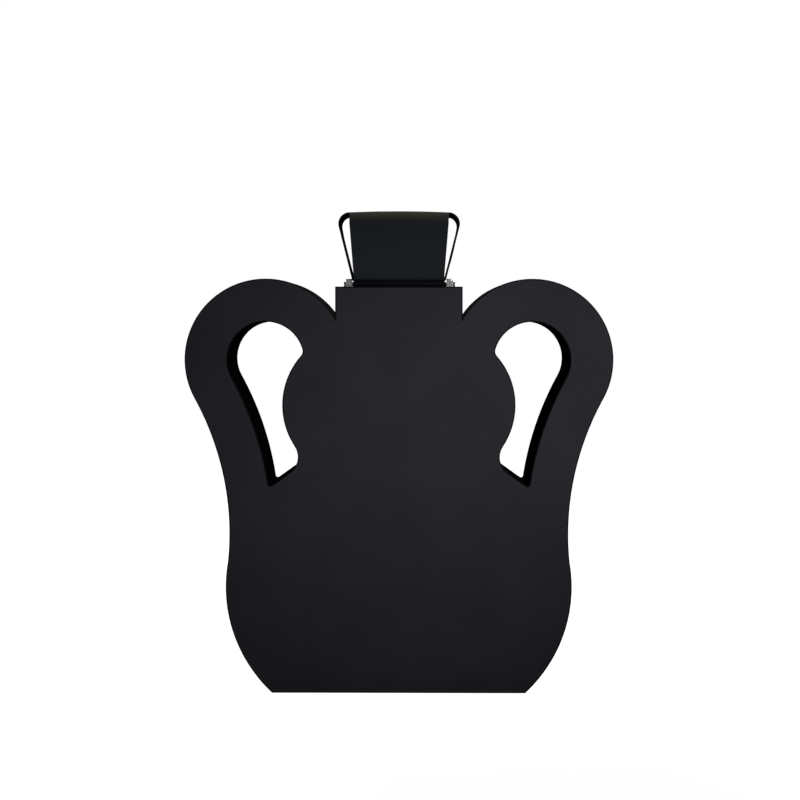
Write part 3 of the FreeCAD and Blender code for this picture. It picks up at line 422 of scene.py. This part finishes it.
def blank_grid():
    """Return the points and faces of the cross-shaped blank, folded, and its flat area."""
    reach = ARM_HALF + FILLET_ALONG
    middle = [-reach] + spread(-reach, reach, HOOD_STEP)
    panel_lines = stations(PANEL_STRIP, reach)
    rows = [-line for line in reversed(panel_lines)] + middle + panel_lines
    columns = [-PANEL_TOP_HALF] + spread(-PANEL_TOP_HALF, PANEL_TOP_HALF, HOOD_STEP)
    points = []
    index = {}
    for i, across in enumerate(columns):
        for j, along in enumerate(rows):
            index["crown", i, j] = len(points)
            points.append(hood_point(across, along))
    faces = [
        tuple(index["crown", *spot] for spot in ((i, j), (i + 1, j), (i + 1, j + 1), (i, j + 1)))
        for i in range(len(columns) - 1)
        for j in range(len(rows) - 1)
    ]
    first = len(panel_lines)
    fillet_lines = [PANEL_TOP_HALF + FILLET_ACROSS * share for share in FILLET_SHARES]
    arm_lines = fillet_lines + stations(ARM_STRIP, fillet_lines[-1])
    for side, edge in ((1, len(columns) - 1), (-1, 0)):
        for j, along in enumerate(middle):
            index[side, 0, j] = index["crown", edge, first + j]
            for i, line in enumerate(arm_lines, start=1):
                index[side, i, j] = len(points)
                points.append(hood_point(side * line, along / reach * arm_half(line)))
        corners = ((0, 0), (1, 0), (1, 1), (0, 1)) if side > 0 else ((0, 0), (0, 1), (1, 1), (1, 0))
        for i in range(len(arm_lines)):
            for j in range(len(middle) - 1):
                faces.append(tuple(index[side, i + di, j + dj] for di, dj in corners))
    flat_area = 0.0
    for low, high in zip(rows, rows[1:]):
        centre = abs(low + high) / 2
        flat_area += (high - low) * 2 * panel_half(folded(PANEL_STRIP, centre)[1], centre)
    for low, high in zip([PANEL_TOP_HALF] + arm_lines, arm_lines):
        flat_area += 2 * (high - low) * 2 * arm_half((low + high) / 2)
    return points, faces, flat_area


def build_hood(leather, edge, inside):
    """Build the folded leather hood on the lid."""
    points, faces, flat_area = blank_grid()
    mesh = bpy.data.meshes.new("folded_hood")
    mesh.from_pydata(points, [], faces)
    mesh.shade_smooth()
    for material in (leather, edge, inside):
        mesh.materials.append(material)
    piece = new_piece("folded_hood", mesh, "lid", ["hood"])
    solidify = piece.modifiers.new("thickness", "SOLIDIFY")
    solidify.thickness = HOOD_LEATHER
    solidify.offset = -1
    solidify.use_even_offset = True
    solidify.material_offset_rim = 1
    solidify.material_offset = 2
    add_bevel(piece, HOOD_EDGE_ROUND, SOFT_SEGMENTS, HOOD_EDGE_ANGLE)
    return piece


# Materials

class Finish:
    """A material with helpers that add procedural nodes to its shader."""

    def __init__(self, name, roughness, specular, metallic=0.0):
        self.material = bpy.data.materials.new(name)
        self.material.use_nodes = True
        tree = self.material.node_tree
        self.nodes, self.links = tree.nodes, tree.links
        self.shader = next(node for node in self.nodes if node.type == "BSDF_PRINCIPLED")
        self.shader.inputs["Roughness"].default_value = roughness
        self.shader.inputs["Specular IOR Level"].default_value = specular
        self.shader.inputs["Metallic"].default_value = metallic
        self.place = self.nodes.new("ShaderNodeTexCoord").outputs["Object"]

    def stretched(self, scale, turn=(0.0, 0.0, 0.0)):
        """Return the place in space, stretched along its axes."""
        mapping = self.nodes.new("ShaderNodeMapping")
        mapping.inputs["Scale"].default_value = scale
        mapping.inputs["Rotation"].default_value = turn
        self.links.new(self.place, mapping.inputs["Vector"])
        return mapping.outputs["Vector"]

    def noise(self, scale, detail=3.0, place=None, distortion=0.0):
        node = self.nodes.new("ShaderNodeTexNoise")
        node.inputs["Scale"].default_value = scale
        node.inputs["Detail"].default_value = detail
        node.inputs["Distortion"].default_value = distortion
        self.links.new(place or self.place, node.inputs["Vector"])
        return node.outputs["Fac"]

    def cells(self, scale, feature="F1", place=None):
        node = self.nodes.new("ShaderNodeTexVoronoi")
        node.feature = feature
        node.inputs["Scale"].default_value = scale
        self.links.new(place or self.place, node.inputs["Vector"])
        return node.outputs["Distance"]

    def ranged(self, source, low, high, to_low, to_high):
        """Return a value mapped from one range to another."""
        node = self.nodes.new("ShaderNodeMapRange")
        for name, value in (("From Min", low), ("From Max", high), ("To Min", to_low), ("To Max", to_high)):
            node.inputs[name].default_value = value
        self.links.new(source, node.inputs["Value"])
        return node.outputs["Result"]

    def mixed(self, one, other, share=0.5):
        """Return the weighted sum of two values."""
        node = self.nodes.new("ShaderNodeMix")
        node.data_type = "FLOAT"
        node.inputs[0].default_value = share
        self.links.new(one, node.inputs[2])
        self.links.new(other, node.inputs[3])
        return node.outputs[0]

    def colours(self, source, *stops):
        """Colour the surface by a value, through stops of place and colour."""
        ramp = self.nodes.new("ShaderNodeValToRGB")
        ramp.color_ramp.interpolation = "EASE"
        elements = ramp.color_ramp.elements
        while len(elements) < len(stops):
            elements.new(0.5)
        for element, (place, colour) in zip(elements, stops):
            element.position = place
            element.color = (*colour, 1.0)
        self.links.new(source, ramp.inputs["Fac"])
        self.links.new(ramp.outputs["Color"], self.shader.inputs["Base Color"])

    def roughness(self, source, low, high):
        self.links.new(self.ranged(source, 0.3, 0.7, low, high), self.shader.inputs["Roughness"])

    def bump(self, source, distance, strength=1.0):
        node = self.nodes.new("ShaderNodeBump")
        node.inputs["Strength"].default_value = strength
        node.inputs["Distance"].default_value = distance
        self.links.new(source, node.inputs["Height"])
        self.links.new(node.outputs["Normal"], self.shader.inputs["Normal"])


def leather(name, dark, light, roughness, specular, grain=PEBBLES, relief=PEBBLE_RELIEF):
    """A fine-grained smooth leather: small pebbled cells, faint mottling and uneven sheen."""
    finish = Finish(name, roughness, specular)
    mottle = finish.noise(scale=22.0, detail=4.0, distortion=0.4)
    finish.colours(mottle, (0.25, dark), (0.75, light))
    warped = finish.stretched((1.0, 1.0, 0.8))
    pebbles = finish.cells(scale=grain, feature="SMOOTH_F1", place=warped)
    pores = finish.noise(scale=grain * PORES_PER_PEBBLE, detail=2.0)
    folds = finish.noise(scale=95.0, detail=3.0, distortion=0.6)
    grained = finish.mixed(pebbles, pores, share=0.35)
    finish.bump(finish.mixed(grained, folds, share=0.3), relief)
    uneven = finish.mixed(mottle, pores, share=0.4)
    finish.roughness(uneven, roughness - ROUGHNESS_SWING, roughness + ROUGHNESS_SWING)
    return finish.material


def edge_paint(name, colour):
    """The painted edge of a leather piece: matt, with a slightly uneven coat."""
    finish = Finish(name, 0.7, 0.0)
    coat = finish.noise(scale=380.0, detail=3.0)
    light = tuple(value * PAINT_LIFT for value in colour)
    finish.colours(coat, (0.35, colour), (0.7, light))
    finish.roughness(coat, low=0.62, high=0.8)
    finish.bump(coat, distance=0.00004)
    return finish.material


def flesh_side():
    """The matt black inner side of the hood's leather, with a short fibrous nap."""
    finish = Finish("flesh_side_finish", roughness=0.95, specular=0.0)
    nap = finish.noise(scale=1300.0, detail=4.0, distortion=1.2)
    finish.colours(nap, (0.3, (0.0015, 0.0015, 0.0016)), (0.75, (0.0038, 0.0037, 0.0038)))
    finish.bump(nap, distance=0.00006)
    return finish.material


def hole_leather_painted_shade():
    """Matt black leather that lines the hand holes, coloured almost black as painted shade inside the holes.
    """
    finish = Finish("hole_leather_finish", roughness=0.95, specular=0.0)
    grain = finish.cells(scale=1100.0, feature="SMOOTH_F1")
    # Near-black colour: partly the lining's own black, mostly painted shade on the hole walls.
    finish.colours(finish.noise(scale=60.0), (0.3, (0.0016, 0.0016, 0.0018)), (0.7, (0.0028, 0.0028, 0.003)))
    finish.bump(grain, distance=0.00003)
    return finish.material


def plywood():
    """Bare birch plywood: pale grain along the height, with darker growth lines."""
    finish = Finish("plywood_finish", roughness=0.6, specular=0.35)
    grain = finish.noise(scale=60.0, detail=6.0, place=finish.stretched((6.0, 1.0, 0.25)), distortion=0.6)
    finish.colours(grain, (0.3, (0.36, 0.24, 0.14)), (0.55, (0.5, 0.36, 0.22)), (0.75, (0.6, 0.45, 0.3)))
    finish.roughness(grain, low=0.5, high=0.7)
    finish.bump(grain, distance=0.00006)
    return finish.material


def stained_wood():
    """Light wood with a black stain that lets the grain show."""
    finish = Finish("stained_wood_finish", roughness=0.65, specular=0.3)
    grain = finish.noise(scale=70.0, detail=6.0, place=finish.stretched((5.0, 1.0, 0.3)), distortion=0.5)
    finish.colours(grain, (0.3, (0.012, 0.011, 0.01)), (0.7, (0.045, 0.04, 0.036)))
    finish.roughness(grain, low=0.55, high=0.75)
    finish.bump(grain, distance=0.00008)
    return finish.material


def suede():
    """Black suede cloth with a short brushed nap."""
    finish = Finish("suede_finish", roughness=0.95, specular=0.1)
    finish.shader.inputs["Sheen Weight"].default_value = 0.25
    finish.shader.inputs["Sheen Roughness"].default_value = 0.5
    nap = finish.noise(scale=1600.0, detail=4.0, distortion=1.0)
    brushed = finish.noise(scale=45.0, detail=2.0)
    finish.colours(brushed, (0.35, (0.01, 0.01, 0.011)), (0.65, (0.028, 0.028, 0.03)))
    finish.bump(nap, distance=0.0001)
    return finish.material


def black_plate_painted_shade():
    """Satin black anodised plate with a faint blasted texture, coloured darker than its own black as painted
    shade under the hood.
    """
    finish = Finish("black_plate_finish", roughness=0.5, specular=0.01)
    blast = finish.noise(scale=1500.0, detail=2.0)
    # Very dark colour: the plate's own black, darkened further as painted shade where the lid edge sits
    # under the hood.
    finish.colours(finish.noise(scale=30.0), (0.3, (0.0024, 0.0022, 0.0036)), (0.7, (0.0032, 0.003, 0.0046)))
    finish.roughness(blast, low=0.42, high=0.6)
    finish.bump(blast, distance=0.00001)
    return finish.material


def grey_metal():
    """Brushed grey metal, the lines of the brushing along the height."""
    finish = Finish("grey_metal_finish", roughness=0.2, specular=0.5, metallic=1.0)
    lines = finish.noise(scale=500.0, detail=3.0, place=finish.stretched((6.0, 6.0, 0.3)))
    finish.colours(lines, (0.3, (0.13, 0.13, 0.134)), (0.7, (0.23, 0.23, 0.236)))
    finish.roughness(lines, low=0.15, high=0.27)
    finish.bump(lines, distance=0.00001)
    return finish.material


def black_steel():
    """Blackened steel of the screws, a little worn."""
    finish = Finish("black_steel_finish", roughness=0.5, specular=0.05)
    wear = finish.noise(scale=420.0, detail=4.0)
    finish.colours(wear, (0.4, (0.0024, 0.0024, 0.0027)), (0.75, (0.009, 0.009, 0.0095)))
    finish.roughness(wear, low=0.36, high=0.52)
    finish.bump(wear, distance=0.00001)
    return finish.material


def nickel():
    """Nickel-plated magnets with fine turning marks."""
    finish = Finish("nickel_finish", roughness=0.2, specular=0.5, metallic=1.0)
    marks = finish.noise(scale=700.0, detail=2.0)
    finish.colours(marks, (0.3, (0.52, 0.51, 0.48)), (0.7, (0.68, 0.67, 0.63)))
    finish.roughness(marks, low=0.14, high=0.3)
    finish.bump(marks, distance=0.000005)
    return finish.material


def paint_nodes(looks):
    """Give each CAD node that stays its procedural material."""
    for material, names in looks:
        for name in names:
            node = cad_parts[name]
            if not node.material_slots:
                node.data.materials.append(material)
            for slot in node.material_slots:
                slot.material = material


def soften_nodes():
    """Round the edges of the CAD nodes that show."""
    for name, width in SOFT_EDGES.items():
        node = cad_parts[name]
        weld = node.modifiers.new("weld", "WELD")
        weld.merge_threshold = WELD_DISTANCE
        add_bevel(node, width, SOFT_SEGMENTS, SOFT_ANGLE)


# Floor, light and camera

def white_share(nodes, links):
    """Return 1 for camera, glossy and transmission rays and 0 for the rest."""
    path = nodes.new("ShaderNodeLightPath")
    share = path.outputs["Is Camera Ray"]
    for name in ("Is Glossy Ray", "Is Transmission Ray"):
        largest = nodes.new("ShaderNodeMath")
        largest.operation = "MAXIMUM"
        links.new(share, largest.inputs[0])
        links.new(path.outputs[name], largest.inputs[1])
        share = largest.outputs[0]
    return share


def build_world():
    """White to the camera and in reflections, a softer grey as light."""
    world = bpy.data.worlds.new("studio")
    bpy.context.scene.world = world
    world.use_nodes = True
    nodes, links = world.node_tree.nodes, world.node_tree.links
    background = next(node for node in nodes if node.type == "BACKGROUND")
    background.inputs["Color"].default_value = (1.0, 1.0, 1.0, 1.0)
    strength = nodes.new("ShaderNodeMapRange")
    strength.inputs["To Min"].default_value = WORLD_SOFT
    strength.inputs["To Max"].default_value = WORLD_WHITE
    links.new(white_share(nodes, links), strength.inputs["Value"])
    links.new(strength.outputs["Result"], background.inputs["Strength"])


def build_floor():
    """A plain pale floor that looks white beside the object's shadow."""
    mesh = bpy.data.meshes.new("studio_floor")
    corners = [(-1, -1), (1, -1), (1, 1), (-1, 1)]
    mesh.from_pydata([(x * FLOOR_HALF, y * FLOOR_HALF, -FLOOR_DROP) for x, y in corners], [], [(0, 1, 2, 3)])
    floor = bpy.data.objects.new("studio_floor", mesh)
    bpy.context.scene.collection.objects.link(floor)
    finish = Finish("studio_floor_finish", roughness=0.9, specular=0.1)
    finish.shader.inputs["Base Color"].default_value = FLOOR_COLOUR
    finish.shader.inputs["Emission Color"].default_value = (1.0, 1.0, 1.0, 1.0)
    glow = finish.ranged(white_share(finish.nodes, finish.links), 0.0, 1.0, 0.0, FLOOR_GLOW)
    finish.links.new(glow, finish.shader.inputs["Emission Strength"])
    mesh.materials.append(finish.material)


def build_lamps():
    """Place the soft area lamps."""
    for name, (place, target, size, power, spread_angle, colour) in LAMPS.items():
        lamp = bpy.data.lights.new(name, "AREA")
        lamp.shape = "RECTANGLE"
        lamp.size, lamp.size_y = size
        lamp.energy = power
        lamp.spread = spread_angle
        lamp.color = colour
        holder = bpy.data.objects.new(name, lamp)
        bpy.context.scene.collection.objects.link(holder)
        holder.location = place
        aim = Vector(target) - Vector(place)
        holder.rotation_euler = aim.to_track_quat("-Z", "Y").to_euler()


def build_camera():
    """Place the camera where the photograph was taken from."""
    data = bpy.data.cameras.new("camera")
    data.sensor_fit = "HORIZONTAL"
    data.sensor_width = CAMERA_SENSOR
    data.lens = CAMERA_LENS
    data.clip_end = CAMERA_REACH
    camera = bpy.data.objects.new("camera", data)
    bpy.context.scene.collection.objects.link(camera)
    turned = Matrix.Rotation(CAMERA_YAW, 4, "Z") @ Matrix.Rotation(math.pi / 2 - CAMERA_PITCH, 4, "X")
    turned = turned @ Matrix.Rotation(CAMERA_ROLL, 4, "Z")
    camera.matrix_world = Matrix.Translation(CAMERA_PLACE) @ turned
    bpy.context.scene.camera = camera


bpy.context.scene.view_settings.view_transform = "Standard"
build_camera()
build_world()
build_floor()
build_lamps()

face_finishes = {
    "leather": leather("case_leather_finish", *CASE_LEATHER),
    "paint": edge_paint("case_edge_finish", EDGE_BLACK),
    "rim": leather("case_rim_highlight_finish", *RIM_HIGHLIGHT_LEATHER, grain=RIM_PEBBLES, relief=RIM_RELIEF),
}
side_finish = leather("side_leather_finish", *SIDE_LEATHER)
hood_finish = leather("hood_leather_finish", *FOLDED_LEATHER)

leather_face("front_face", -1, "front_leather", face_finishes)
leather_face("back_face", 1, "back_leather", face_finishes)
build_hood(hood_finish, edge_paint("hood_edge_finish", EDGE_BLACK), flesh_side())

paint_nodes([
    (side_finish, ["side_leather_right", "side_leather_left", "base_leather"]),
    (hole_leather_painted_shade(), ["handle_leather_right", "handle_leather_left"]),
    (plywood(), ["front_board", "back_board", "side_board_right", "side_board_left", "floor_board",
                 "handle_wall_right", "handle_wall_left"]),
    (stained_wood(), ["handle_core_right", "handle_core_left", "neck_frame"]),
    (suede(), ["lining_front", "lining_back", "lining_floor"]),
    (black_plate_painted_shade(), ["mouth_plate", "lid_board", "clamp_plate"]),
    (grey_metal(), ["lug_nuts", "hinge_lug_right", "hinge_lug_left"]),
    (black_steel(), ["plate_screws", "clamp_screws", "pivot_screw_right", "pivot_screw_left",
                     "pivot_spacer_right", "pivot_spacer_left"]),
    (nickel(), ["frame_magnets", "lid_magnets"]),
])
soften_nodes()
